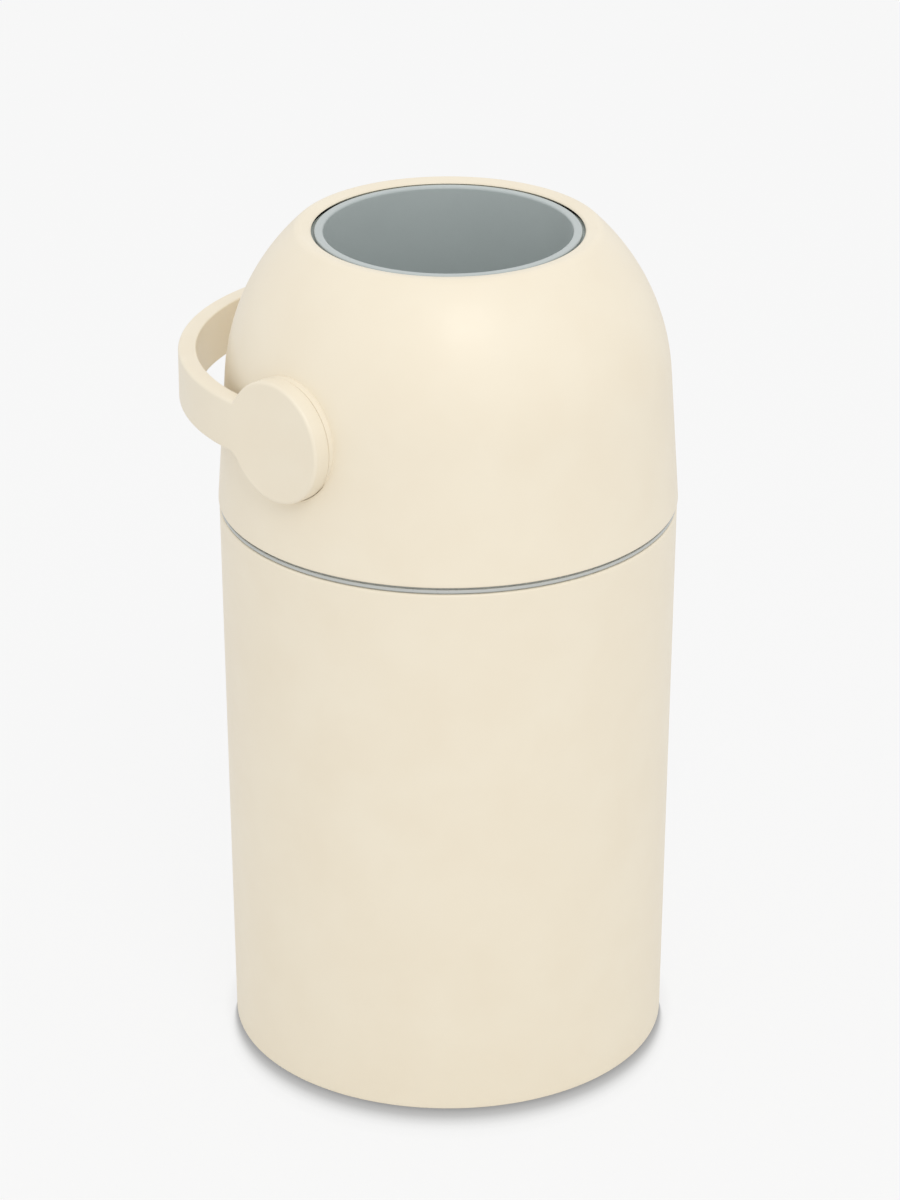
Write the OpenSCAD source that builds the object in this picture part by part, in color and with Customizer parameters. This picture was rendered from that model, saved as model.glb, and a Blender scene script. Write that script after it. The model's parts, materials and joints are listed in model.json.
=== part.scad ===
// Nappy bin with a turning drum.
// A round tapered body holds the bag. A domed lid stands on it and carries a ball-shaped drum
// with an open cup. A bail handle on the drum's two axles turns the drum over by half a turn,
// so that the cup faces down into the bag and the ball's closed side fills the mouth.
// The drum's axis runs along X. The handle rests towards +Y. Z = 0 is the floor.

/* [Body] */
// Outer radius of the body at its top edge
body_top_r = 129.4; // [122:0.2:136]
// How much narrower the body is at the floor than at its top edge, measured as a radius
body_taper = 3.6; // [0:0.1:8]
// Height of the body's top edge above the floor
body_h = 326; // [300:1:380]
// Wall of the body
body_wall = 3; // [2.4:0.2:3.6]
// Thickness of the body's floor
floor_t = 3.5; // [2.5:0.5:6]
// Rounding of the body's bottom edge
base_round = 7; // [4:0.5:12]
// Rounding of the body's top edge
rim_round = 0.9; // [0.3:0.1:1.2]

/* [Base pad] */
// Distance of the non-slip pad's edge from the body's side
pad_inset = 17.8; // [14:0.1:36]
// Thickness of the non-slip pad
pad_t = 2.6; // [2:0.1:4]
// Depth of the recess that holds the pad
pad_recess = 1.4; // [1:0.1:1.8]

/* [Bag ring] */
// How far the ring's flange stays back from the body's side
ring_step = 0.4; // [0:0.1:1.2]
// Thickness of the ring's flange, which shows as a grey band under the lid
ring_t = 3.2; // [2.6:0.1:4.5]
// Wall of the ring's skirt
ring_wall = 2.5; // [2:0.1:3]
// Depth of the ring's skirt inside the body
ring_depth = 22; // [14:1:34]
// Room for the bag between the ring's skirt and the body
bag_gap = 0.6; // [0.3:0.1:1]

/* [Lid] */
// How far the dome's lower edge stands out past the body's side
seam_step = 0.6; // [0:0.1:3]
// Open line between the ring and the dome's lower edge
seam_gap = 0.8; // [0.4:0.1:1.4]
// Height of the middle of the dome's ball-shaped top above its lower edge
dome_up = 68; // [62:1:74]
// How much smaller the dome's ball-shaped top is than its lower edge, measured as a radius
dome_shoulder = 4.9; // [4:0.1:6]
// Wall of the dome
dome_wall = 3; // [2.6:0.1:3.2]
// Radius of the dome's mouth
mouth_r = 75.5; // [74.6:0.1:80]
// Width of the lip, from the mouth to the lip's highest circle
lip_w = 6.8; // [5:0.1:9]
// Angle in degrees at which the lip falls towards the mouth
lip_slope = 8; // [2:1:12]
// Radius of the bend from the dome into the lip
roll_r = 5.5; // [4:0.5:9]
// Rounding of the mouth's edge
lip_round = 2.2; // [1:0.2:2.6]
// Space between the ball's round and the underside of the mouth's edge
mouth_room = 1; // [0.5:0.1:1.4]
// Rounding of the dome's lower edge
seam_round = 1.2; // [0.4:0.1:1.6]

/* [Lid liner] */
// Thickness of the liner plate
liner_t = 3; // [2.4:0.1:4]
// Thickness of the gasket that the lid stands on
gasket_t = 1.8; // [1.2:0.1:2.6]
// Wall of the liner's spigot
spigot_wall = 2.2; // [1.8:0.1:3]
// Depth of the liner's spigot inside the bag ring
spigot_depth = 18; // [10:1:26]
// Room between the spigot and the bag ring
spigot_gap = 0.5; // [0.3:0.1:0.8]
// Space between the spigot and the heads of the liner screws
head_gap = 2; // [1:0.5:4]
// Number of screws that hold the liner
liner_screw_n = 6; // [4:1:8]
// Height of the screw bosses in the dome
boss_h = 15; // [12:1:18]
// Radius of the screw bosses in the dome
boss_r = 4.2; // [3.6:0.1:4.6]
// Thickness of the web that ties each boss to the dome
boss_web = 2.4; // [1.6:0.2:3.4]

/* [Seals] */
// Space between a seal's lip and the ball
seal_gap = 0.3; // [0.2:0.05:0.5]
// Room between the mouth seal and the dome's wall and ribs
seal_fit = 0.05; // [0.03:0.01:0.1]
// Width of the throat seal round the ball
throat_seal_w = 4.5; // [3.5:0.5:6]
// Thickness of the throat seal's two flanges
seal_flange = 1.5; // [1:0.1:2]
// Depth of the groove that grips the liner plate
seal_groove = 3; // [2:0.5:4]
// Width of the mouth seal along the dome's inner wall
mouth_seal_w = 8; // [6:0.5:9]
// Distance along the dome's inner wall from the bend at the mouth to the middle of the mouth seal
seal_down = 9.8; // [9:0.2:16]
// Height of the two ribs that hold the mouth seal
rib_h = 2.2; // [1.4:0.1:2.6]
// Thickness of the two ribs
rib_t = 1.5; // [1:0.1:2]

/* [Drum] */
// How far the drum's axis lies above the middle of the dome's ball-shaped top
axis_rise = 2; // [0:0.1:2.4]
// Least space between the ball and the dome's inner wall
ball_gap = 4.6; // [4:0.1:6]
// Wall of the ball's two shells
ball_wall = 2.5; // [2:0.1:3.2]
// Space between the cup's rim and the dome's mouth
rim_gap = 1.4; // [0.9:0.1:2]
// How far the rim stays inside the ball's round
rim_shy = 0.3; // [0.2:0.05:2]
// Thickness of the cup's rim
rim_t = 2.8; // [2.2:0.1:3.6]
// Width of the cup's rim
rim_w = 5; // [4:0.1:8]
// How much narrower the cup is at its floor than at its rim, measured as a radius
cup_taper = 4.4; // [1:0.2:12]
// Depth of the cup
cup_depth = 125; // [90:1:140]
// Wall of the cup
cup_wall = 2.4; // [2:0.1:3]
// Rounding inside the cup's floor
cup_round = 16; // [6:1:24]
// Rounding of the rim's inner edge
rim_edge = 1.6; // [0.8:0.1:2]
// Rounding of the rim's outer edge
rim_soft = 1; // [0.4:0.1:1.4]
// Room between the cup and the hole in the ledge
neck_gap = 0.5; // [0.3:0.1:0.8]
// Thickness of the ledge that the rim sits on
ledge_t = 3; // [2:0.2:5]
// Depth of the joint between the ball's shells below the drum's axis
split_down = 32; // [30:1:50]
// Height of the lap joint between the ball's shells
lap_h = 4; // [2:0.5:4]

/* [Axles] */
// Radius of the axle's journal
axle_r = 9; // [8:0.1:10]
// Running clearance between journal and bush
bush_fit = 0.05; // [0.02:0.01:0.09]
// Wall of the bush
bush_wall = 3; // [2:0.2:4]
// Radius of the bush's flange
bush_flange_r = 16; // [14.6:0.2:18]
// Thickness of the bush's flange
bush_flange_t = 1.4; // [1:0.1:1.8]
// Radius of the axle's flange inside the ball
axle_flange_r = 24; // [22:0.5:26]
// Thickness of the axle's flange
axle_flange_t = 4; // [3:0.5:6]
// Thickness of the ball's pad where the axle's flange sits
pad_depth = 9; // [8:0.5:11]
// Rim of the pad outside the axle's flange
pad_rim = 2; // [1:0.5:4]
// Width across the flats of the axle's square end
square_w = 12; // [11:0.2:12.6]
// Length of the axle's square end
square_l = 4; // [3:0.2:5]
// Room round the square end
square_fit = 0.1; // [0.05:0.05:0.2]
// Radius of the circle of screws in the axle's flange
axle_screw_ring = 17.5; // [16:0.5:18]

/* [Handle] */
// How far the bail's inner side lies inside the dome's ball-shaped top
hub_dip = 1.2; // [0:0.1:1.5]
// Thickness of the bail's band
bail_t = 10.2; // [9.6:0.2:13]
// Width of the bail's band
bail_w = 30; // [22:1:38]
// Straight length of the bail's arms from the axis
bail_arm = 25; // [20:0.2:40]
// Radius of the bail's round hubs
hub_r = 34.6; // [30:0.2:40]
// How far each face of a hub stands proud of the band
hub_proud = 0.15; // [0.1:0.05:0.4]
// Rounding of the hub's outer edge
hub_round = 1.6; // [0.8:0.2:2.4]
// Fillet between hub and band on the side that rests upwards
fillet_top = 3; // [1:0.5:6]
// Fillet between hub and band on the side that rests downwards
fillet_low = 9; // [4:0.5:14]

/* [Hub seats] */
// How much smaller the raised seat behind each hub is than the hub, measured as a radius
seat_inset = 0.4; // [0.2:0.1:3]
// Thickness of the dome's wall under the seat
seat_t = 4.4; // [3.6:0.1:4.8]
// Space between the seat and the hub
seat_gap = 0.3; // [0.3:0.1:0.8]
// How far the seat stands above the floor of the pocket round it
seat_step = 0.6; // [0.4:0.1:1]
// Space round the hub where it dips into the dome
pocket_gap = 0.6; // [0.6:0.1:2]

/* [Screws] */
// Radius of the small screws' shanks
screw_r = 1.5; // [1.2:0.1:1.8]
// Radius of the small screws' heads
screw_head_r = 3.1; // [2.6:0.1:3.4]
// Thickness of the small screws' heads
screw_head_t = 2.2; // [1.6:0.1:2.8]
// Length of the liner screws
liner_screw_l = 14; // [10:0.5:16]
// Length of the axle screws
axle_screw_l = 10; // [8:0.5:11]
// Radius of the handle screws' shanks
bolt_r = 2; // [1.6:0.1:2.4]
// Radius of the handle screws' heads
bolt_head_r = 4; // [3.4:0.1:4.6]
// Thickness of the handle screws' heads
bolt_head_t = 2.8; // [2:0.1:3.4]
// Depth to which the handle screws bite into the hub
bolt_bite = 4.6; // [3:0.2:5]
// Radius of the handle screws' washers
washer_r = 5.6; // [5:0.1:6.4]
// Thickness of the washers
washer_t = 1; // [0.6:0.1:1.6]
// Room round a screw's shank
screw_room = 0.05; // [0.02:0.01:0.1]

/* [Hidden] */

$fn = 96;
cream = [0.93, 0.89, 0.80];
grey = [0.62, 0.67, 0.66];
dark_grey = [0.48, 0.53, 0.52];
rubber = [0.20, 0.21, 0.21];
steel = [0.72, 0.73, 0.75];
over = 1;                 // how far a cutting tool runs past a face

// Heights, from the floor up
base_z = pad_t - pad_recess;              // underside of the body
floor_z = base_z + pad_recess + floor_t;  // inside floor of the body
ring_top = body_h + ring_t;
seam_z = ring_top + seam_gap;             // lower edge of the dome
dome_z = seam_z + dome_up;                // middle of the dome's ball-shaped top
axis_z = dome_z + axis_rise;              // the drum's axis
liner_z = ring_top + gasket_t;            // underside of the liner plate
liner_top = liner_z + liner_t;

// Radii from the body's outwards and upwards: ring, dome, ball, rim, cup and bail
body_base_r = body_top_r - body_taper;
pad_r = body_base_r - pad_inset;
ring_r = body_top_r - ring_step;
seam_r = body_top_r + seam_step;
dome_r = seam_r - dome_shoulder;
dome_in = dome_r - dome_wall;
ball_r = dome_in - axis_rise - ball_gap;
rim_r = mouth_r - rim_gap;
cup_r = rim_r - rim_w;
cup_floor_r = cup_r - cup_taper;
bail_in_r = dome_r - hub_dip;
seat_r = hub_r - seat_inset;

// Outline of the dome: a cone that touches the ball-shaped top, then a bend into the lip
cone_a = acos(dome_r / norm([seam_r, dome_up])) - atan2(dome_up, seam_r);
roll_a = acos((mouth_r + lip_w) / (dome_r - roll_r));
roll_c = (dome_r - roll_r) * [cos(roll_a), sin(roll_a)] + [0, dome_z];
roll_end = 90 + lip_slope;
lip_fall = (roll_r - lip_round - sin(lip_slope) * (lip_w - lip_round)) / cos(lip_slope);
lip_c = [mouth_r + lip_round, roll_c[1] + lip_fall];   // centre of the mouth's rounded edge
mouth_seal_a = roll_a - seal_down / dome_in * 180 / PI;

// Radii that follow from the pieces around them
skirt_r = body_r(body_h - ring_depth) - body_wall - bag_gap;
ring_in_r = skirt_r - ring_wall;
spigot_r = ring_in_r - spigot_gap;
liner_r = cone_r(liner_top) - dome_wall / cos(cone_a) - spigot_gap / 2;
throat_r = sqrt(pow(ball_r, 2) - pow(axis_z - liner_z - liner_t / 2, 2)) + throat_seal_w;
boss_ring = spigot_r - spigot_wall - screw_head_r - head_gap;   // circle of the liner screws

// Places along the drum's axis
hub_x = bail_in_r - hub_proud;            // inner face of the hubs
hub_t = bail_t + 2 * hub_proud;
seat_x = hub_x - seat_gap;                // outer face of the seats
seat_in_x = seat_x - seat_t;              // inner face of the seats
pocket_r = hub_r + pocket_gap;
pad_x = ball_r - pad_depth;               // inner face of the ball's pads
flange_x = pad_x - axle_flange_t;         // inner face of the axle's flanges
bush_r = axle_r + bush_fit + bush_wall;
hub_floor_x = hub_x + square_l + square_fit;  // floor of the square socket
bolt_end_x = hub_floor_x + bolt_bite;

// Radii of the lap joint between the ball's shells, and of the hole for the cup
lap_r = ball_at(ball_r, split_down) - ball_wall / 2;
lap_in_r = lap_r - ball_wall / 2;
neck_r = cup_r + cup_wall + neck_gap;

// Heights of the cup above the drum's axis
rim_up = rim_soft + ball_at(ball_r - rim_shy - rim_soft, rim_r - rim_soft);
cup_floor = rim_up - cup_depth;
ledge_up = rim_up - rim_t;

// Radius of the body's outside at height z
function body_r(z) = body_base_r + body_taper * z / body_h;
// Radius of the dome's lower cone at height z
function cone_r(z) = seam_r - (z - seam_z) * tan(cone_a);
// Radius at height h above the axis on a ball of radius r, or height at radius h
function ball_at(r, h) = sqrt(r * r - h * h);
// Points on an arc about c from angle a to angle b in n steps
function arc(c, r, a, b, n) = [for (i = [0:n]) c + r * [cos(a + (b - a) * i / n), sin(a + (b - a) * i / n)]];
function reversed(p) = [for (i = [len(p) - 1:-1:0]) p[i]];

// The outline of the dome, moved inwards by d, from its lower edge to its lip
function dome_line(d) = concat(
    [[seam_r - d / cos(cone_a), seam_z]],
    arc([0, dome_z], dome_r - d, cone_a, roll_a, 20),
    arc(roll_c, roll_r - d, roll_a, roll_end, 6));

// A cylinder along X on side s, from x = a to x = b, on the drum's axis
module axial(s, a, b, r) {
    translate([s * a, 0, axis_z]) rotate([0, s * 90, 0]) cylinder(h = b - a, r = r);
}

// Places its children on the drum's axis with +Z pointing out along side s
module on_axis(s, x) {
    translate([s * x, 0, axis_z]) rotate([0, s * 90, 0]) children();
}

// A screw that points up +Z from the underside of its head, which hangs below Z = 0
module screw(r, head_r, head_t, l) {
    difference() {
        union() {
            rotate_extrude() polygon(concat(
                [[0, 0], [head_r, 0]],
                arc([head_r - head_t / 2, -head_t / 2], head_t / 2, 0, -90, 5),
                [[0, -head_t]]));
            cylinder(h = l - r, r = r);
            translate([0, 0, l - r]) cylinder(h = r, r1 = r, r2 = r / 3);
        }
        translate([0, 0, -head_t - over]) cylinder(h = head_t / 2 + over, r = head_r / 2, $fn = 6);
    }
}

// ---------- Body ----------

// The tapered tub: outside with a rounded foot, inside with the same taper
module body_shell() color(cream) {
    corner = max(base_round - body_wall, 1);
    difference() {
        rotate_extrude() polygon(concat(
            [[0, base_z]],
            arc([body_r(base_z) - base_round, base_z + base_round], base_round, -90, 0, 8),
            arc([body_top_r - rim_round, body_h - rim_round], rim_round, 0, 90, 4),
            [[body_top_r - body_wall, body_h]],
            [[body_r(floor_z + corner) - body_wall, floor_z + corner]],
            arc([body_r(floor_z + corner) - body_wall - corner, floor_z + corner], corner, 0, -90, 6),
            [[0, floor_z]]));
        translate([0, 0, base_z - over]) cylinder(h = pad_recess + over, r = pad_r + screw_room);
    }
}

// The non-slip pad in the recess under the body, with a small chamfer where it meets the floor
module base_pad() color(rubber) {
    chamfer = (pad_t - pad_recess) / 2;
    cylinder(h = chamfer, r1 = pad_r - chamfer, r2 = pad_r);
    translate([0, 0, chamfer]) cylinder(h = pad_t - chamfer, r = pad_r);
}

// ---------- Bag ring ----------

// The ring that clamps the bag: a flange on the body's edge and a skirt inside it
module bag_ring() color(grey) {
    edge = ring_t / 5;
    rotate_extrude() polygon(concat(
        [[ring_in_r, body_h - ring_depth], [skirt_r, body_h - ring_depth], [skirt_r, body_h]],
        arc([ring_r - edge, body_h + edge], edge, -90, 0, 4),
        arc([ring_r - edge, ring_top - edge], edge, 0, 90, 4),
        [[ring_in_r, ring_top]]));
}

// ---------- Lid ----------

// Cross-section of the dome's wall with the two ribs that hold the mouth seal.
// The underside of the mouth's edge is hollowed so that the ball turns clear of it.
module dome_section() {
    foot = [seam_r - seam_round * (tan(cone_a) + 1 / cos(cone_a)), seam_z + seam_round];
    outer = dome_line(0);
    difference() {
        polygon(concat(
            arc(foot, seam_round, -90, cone_a, 5),
            [for (i = [1:len(outer) - 1]) outer[i]],
            arc(lip_c, lip_round, roll_end, 180, 6),
            [[mouth_r, lip_c[1] - lip_round]],
            reversed(dome_line(dome_wall))));
        translate([0, axis_z]) circle(r = ball_r + mouth_room, $fn = 180);
    }
    for (s = [-1, 1]) translate([0, dome_z])
        rotate(mouth_seal_a + s * (mouth_seal_w + rib_t) / 2 / dome_in * 180 / PI)
            translate([dome_in - rib_h, -rib_t / 2]) square([rib_h + dome_wall / 2, rib_t]);
}

// The room inside and including the dome's wall
module dome_solid() {
    rotate_extrude() polygon(concat([[0, seam_z]], dome_line(0), [[0, roll_c[1]]]));
}

// The places of the liner screws, with +Z up from the underside of the liner plate
module at_liner_screws() {
    for (i = [0:liner_screw_n - 1])
        rotate([0, 0, (i + 0.5) * 360 / liner_screw_n])
            translate([boss_ring, 0, liner_z]) children();
}

// The outer shell of the lid, with a seat and a pocket for each hub of the handle
module dome_shell() color(cream) {
    difference() {
        union() {
            difference() {
                union() {
                    rotate_extrude() dome_section();
                    for (s = [-1, 1]) intersection() {
                        dome_solid();
                        axial(s, seat_in_x + seat_step, seam_r, pocket_r + dome_wall);
                    }
                }
                for (s = [-1, 1]) axial(s, seat_x - seat_step, seam_r + over, pocket_r);
            }
            for (s = [-1, 1]) axial(s, seat_in_x, seat_x, seat_r);
            at_liner_screws() translate([0, 0, liner_t]) {
                cylinder(h = boss_h, r = boss_r);
                translate([0, -boss_web / 2, 0])
                    cube([cone_r(liner_top + boss_h) - dome_wall / 2 - boss_ring, boss_web, boss_h]);
            }
        }
        for (s = [-1, 1]) axial(s, seat_in_x - over, seam_r, bush_r);
        at_liner_screws() cylinder(h = liner_screw_l + screw_room, r = screw_r + screw_room);
    }
}

// The plate that closes the dome underneath, with the spigot that centres the lid in the ring
module lid_liner() color(grey) {
    difference() {
        rotate_extrude() {
            translate([throat_r, liner_z]) square([liner_r - throat_r, liner_t]);
            translate([spigot_r - spigot_wall, liner_z - spigot_depth])
                square([spigot_wall, spigot_depth + liner_t / 2]);
        }
        at_liner_screws() translate([0, 0, -over])
            cylinder(h = liner_t + 2 * over, r = screw_r + 4 * screw_room);
    }
}

module liner_screws() color(steel) {
    at_liner_screws() screw(screw_r, screw_head_r, screw_head_t, liner_screw_l);
}

// The flat ring between the liner plate and the bag ring, on which the lid stands
module lid_gasket() color(rubber) {
    translate([0, 0, ring_top]) difference() {
        cylinder(h = gasket_t, r = liner_r);
        translate([0, 0, -over]) cylinder(h = gasket_t + 2 * over, r = spigot_r + spigot_gap);
    }
}

// The wiper on the liner plate's inner edge, whose lip reaches the ball
module throat_seal() color(rubber) {
    top = liner_top + seal_flange;
    tip_r = ball_at(ball_r + seal_gap, axis_z - top);
    bottom = liner_z - seal_flange;
    outer_r = throat_r + seal_groove;
    rotate_extrude() polygon([
        [tip_r, top], [outer_r, top], [outer_r, liner_top], [throat_r, liner_top],
        [throat_r, liner_z], [outer_r, liner_z], [outer_r, bottom],
        [throat_r - throat_seal_w / 2, bottom]]);
}

// The wiper between the two ribs under the mouth, whose lip reaches the ball
module mouth_seal() color(rubber) {
    half = (mouth_seal_w / 2 - seal_fit) / dome_in * 180 / PI;
    neck = (dome_in + ball_r) / 2;
    tip_a = atan2(dome_in * sin(mouth_seal_a) - axis_rise, dome_in * cos(mouth_seal_a));
    rotate_extrude() polygon(concat(
        arc([0, dome_z], dome_in - seal_fit, mouth_seal_a - half, mouth_seal_a + half, 4),
        arc([0, dome_z], neck, mouth_seal_a + half, mouth_seal_a + half / 3, 2),
        arc([0, axis_z], ball_r + seal_gap, tip_a + half / 3, tip_a - half / 3, 2),
        arc([0, dome_z], neck, mouth_seal_a - half / 3, mouth_seal_a - half, 2)));
}

// The bearing bush in a seat, with its flange inside the dome
module bush(s) color(grey) {
    difference() {
        union() {
            axial(s, seat_in_x - bush_flange_t, seat_in_x, bush_flange_r);
            axial(s, seat_in_x - bush_flange_t, seat_x, bush_r);
        }
        axial(s, seat_in_x - bush_flange_t - over, seat_x + over, axle_r + bush_fit);
    }
}

module bush_left() bush(-1);
module bush_right() bush(1);

// ---------- Drum ----------

// The cup that the nappy goes into, with its rim
module drum_cup() color(grey) {
    bottom = cup_floor - cup_wall;
    translate([0, 0, axis_z]) rotate_extrude() polygon(concat(
        [[0, bottom]],
        arc([cup_floor_r - cup_round, bottom + cup_wall + cup_round], cup_round + cup_wall, -90, 0, 8),
        [[cup_r + cup_wall, ledge_up], [rim_r, ledge_up]],
        arc([rim_r - rim_soft, rim_up - rim_soft], rim_soft, 0, 90, 3),
        arc([cup_r + rim_edge, rim_up - rim_edge], rim_edge, 90, 180, 6),
        arc([cup_floor_r - cup_round, cup_floor + cup_round], cup_round, 0, -90, 8),
        [[0, cup_floor]]));
}

// Half of the ball's section: its wall between heights a and b, measured from the axis
module ball_section(a, b, outer, inner) {
    intersection() {
        difference() {
            circle(r = outer, $fn = 180);
            circle(r = inner, $fn = 180);
        }
        translate([0, a]) square([outer, b - a]);
    }
}

// The upper shell carries both axles and the ledge for the cup's rim
module drum_upper() color(dark_grey) {
    inner = ball_r - ball_wall;
    mid = ball_r - ball_wall / 2;
    translate([0, 0, axis_z]) difference() {
        union() {
            rotate_extrude() difference() {
                union() {
                    ball_section(-split_down, ledge_up, ball_r, inner);
                    translate([neck_r, ledge_up - ledge_t])
                        square([ball_at(mid, ledge_up) - neck_r, ledge_t]);
                }
                translate([0, -split_down - over]) square([lap_r, lap_h + over]);
            }
            for (s = [-1, 1]) rotate([0, s * 90, 0]) rotate_extrude() intersection() {
                circle(r = mid, $fn = 180);
                translate([0, pad_x]) square([axle_flange_r + pad_rim, pad_depth]);
            }
        }
        for (s = [-1, 1]) rotate([0, s * 90, 0]) {
            translate([0, 0, pad_x - over])
                cylinder(h = pad_depth + 2 * over, r = axle_r + 2 * screw_room);
            axle_screw_circle() translate([0, 0, pad_x - over])
                cylinder(h = axle_screw_l - axle_flange_t + screw_room + over, r = screw_r + screw_room);
        }
    }
}

// The lower shell is a bowl with a lap that reaches up inside the upper shell.
// Its rounded side fills the mouth when the drum is turned over.
module drum_lower() color(dark_grey) {
    translate([0, 0, axis_z]) rotate_extrude() {
        ball_section(-ball_r, -split_down, ball_r, ball_r - ball_wall);
        translate([lap_in_r, -split_down - lap_h])
            square([lap_r - lap_in_r, 2 * lap_h - screw_room]);
    }
}

// ---------- Axles ----------

// The four places of the screws in an axle's flange
module axle_screw_circle() {
    for (a = [45:90:315]) rotate([0, 0, a]) translate([axle_screw_ring, 0, 0]) children();
}

// A flange inside the ball, a journal through the dome and a square end in the hub
module axle(s) color(steel) {
    on_axis(s, flange_x) difference() {
        union() {
            cylinder(h = axle_flange_t, r = axle_flange_r);
            cylinder(h = hub_x - flange_x, r = axle_r);
            translate([-square_w / 2, -square_w / 2, 0])
                cube([square_w, square_w, hub_x + square_l - flange_x]);
        }
        translate([0, 0, -over]) cylinder(h = hub_x, r = bolt_r + 4 * screw_room);
        axle_screw_circle() translate([0, 0, -over])
            cylinder(h = axle_flange_t + 2 * over, r = screw_r + 4 * screw_room);
    }
}

module axle_left() axle(-1);
module axle_right() axle(1);

module axle_screws() color(steel) {
    for (s = [-1, 1]) on_axis(s, flange_x) axle_screw_circle()
        screw(screw_r, screw_head_r, screw_head_t, axle_screw_l);
}

// ---------- Handle ----------

// Side view of one fillet: the corner between hub and band, filled up to a hollow arc.
// X of the plane points along the arm and Y across the band.
module fillet_shape(r) {
    reach = sqrt(pow(hub_r + r, 2) - pow(bail_w / 2 + r, 2));
    turn = atan2(bail_w / 2 + r, reach);
    polygon(concat(
        [[0, 0], [reach, 0]],
        arc([reach, bail_w / 2 + r], r, -90, turn - 180, 8)));
}

// Side view of the bail without its hubs
module bail_side() {
    fillet_shape(fillet_top);
    mirror([0, 1]) fillet_shape(fillet_low);
    translate([0, -bail_w / 2]) square([bail_arm + bail_in_r + bail_t + over, bail_w]);
}

// Plan of the bail: two straight arms and a half ring
module bail_plan() {
    outer_r = bail_in_r + bail_t;
    difference() {
        union() {
            translate([0, bail_arm]) circle(r = outer_r);
            translate([-outer_r, 0]) square([2 * outer_r, bail_arm]);
        }
        translate([0, bail_arm]) circle(r = bail_in_r);
        translate([-bail_in_r, -over]) square([2 * bail_in_r, bail_arm + over]);
        translate([-outer_r - over, -2 * outer_r]) square([2 * (outer_r + over), 2 * outer_r]);
    }
}

// A round hub along +Z with both rims rounded
module hub() {
    back = hub_round / 2;
    rotate_extrude() polygon(concat(
        [[0, 0]],
        arc([hub_r - back, back], back, -90, 0, 4),
        arc([hub_r - hub_round, hub_t - hub_round], hub_round, 0, 90, 5),
        [[0, hub_t]]));
}

// The bail in one moulding: two hubs, two arms and the half ring that is held
module handle() color(cream) {
    width = 2 * (bail_in_r + bail_t + over);
    height = 2 * (hub_r + over);
    difference() {
        union() {
            intersection() {
                translate([-width / 2, 0, axis_z]) rotate([90, 0, 90]) linear_extrude(width) bail_side();
                translate([0, 0, axis_z - height / 2]) linear_extrude(height) bail_plan();
            }
            for (s = [-1, 1]) on_axis(s, hub_x) hub();
        }
        for (s = [-1, 1]) on_axis(s, hub_x) {
            translate([-square_w / 2 - square_fit, -square_w / 2 - square_fit, -over])
                cube([square_w + 2 * square_fit, square_w + 2 * square_fit, square_l + square_fit + over]);
            cylinder(h = bolt_end_x + screw_room - hub_x, r = bolt_r + screw_room);
        }
    }
}

module handle_screws() color(steel) {
    for (s = [-1, 1]) on_axis(s, flange_x - washer_t)
        screw(bolt_r, bolt_head_r, bolt_head_t, bolt_end_x - flange_x + washer_t);
}

module handle_washers() color(steel) {
    for (s = [-1, 1]) on_axis(s, flange_x - washer_t) difference() {
        cylinder(h = washer_t, r = washer_r);
        translate([0, 0, -over]) cylinder(h = washer_t + 2 * over, r = bolt_r + 2 * screw_room);
    }
}

body_shell();
base_pad();
bag_ring();
dome_shell();
lid_liner();
liner_screws();
lid_gasket();
throat_seal();
mouth_seal();
bush_left();
bush_right();
drum_cup();
drum_upper();
drum_lower();
axle_left();
axle_right();
axle_screws();
handle();
handle_screws();
handle_washers();
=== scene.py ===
# %% [markdown]
# # A nappy bin with a turning drum
# The real bin is a tall cream tub with a grey ring on its rim, and a domed lid that stands on the ring.
# A ball-shaped drum hangs in the lid on two short axles. Its grey cup fills the round mouth, and a bail
# handle on the same axles turns it over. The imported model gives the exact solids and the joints. This
# script dresses them: each large moulding is worked out again as a smooth surface with softly rounded
# edges, and each small part keeps its solid and gets its finish.
#
# The frame comes first, because every piece is placed by it and moves with one of its bodies.

# %% Load the frame
import json

import bmesh
import bpy
import numpy as np
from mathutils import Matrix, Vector


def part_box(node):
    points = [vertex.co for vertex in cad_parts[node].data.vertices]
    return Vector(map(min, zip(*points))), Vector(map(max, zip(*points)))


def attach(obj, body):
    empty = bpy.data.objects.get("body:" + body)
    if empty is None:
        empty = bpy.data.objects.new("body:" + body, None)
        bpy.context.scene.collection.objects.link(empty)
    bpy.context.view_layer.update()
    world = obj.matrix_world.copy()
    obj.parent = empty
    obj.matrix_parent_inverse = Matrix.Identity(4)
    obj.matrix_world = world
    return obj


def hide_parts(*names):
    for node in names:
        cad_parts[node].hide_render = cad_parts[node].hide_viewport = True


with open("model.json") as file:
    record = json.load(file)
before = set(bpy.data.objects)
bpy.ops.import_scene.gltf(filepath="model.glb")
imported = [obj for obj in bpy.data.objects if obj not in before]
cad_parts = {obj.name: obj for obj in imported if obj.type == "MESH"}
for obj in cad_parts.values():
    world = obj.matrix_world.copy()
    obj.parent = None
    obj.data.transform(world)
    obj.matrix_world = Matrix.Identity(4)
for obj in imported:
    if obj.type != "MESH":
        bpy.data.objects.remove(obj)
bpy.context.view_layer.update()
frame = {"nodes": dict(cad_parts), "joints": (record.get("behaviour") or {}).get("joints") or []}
MM = 0.001

# %% [markdown]
# ## Sizes
# All sizes are in millimetres. Where the frame knows a size, it is read from the box of a node, so that
# the two models can't drift apart. The rest are the sizes of the mouldings' own lines and roundings.


# %% Sizes from the frame
def corners(node):
    """The lowest and the highest corner of a node's box, in millimetres."""
    low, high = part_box(node)
    return np.array(low) / MM, np.array(high) / MM


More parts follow.
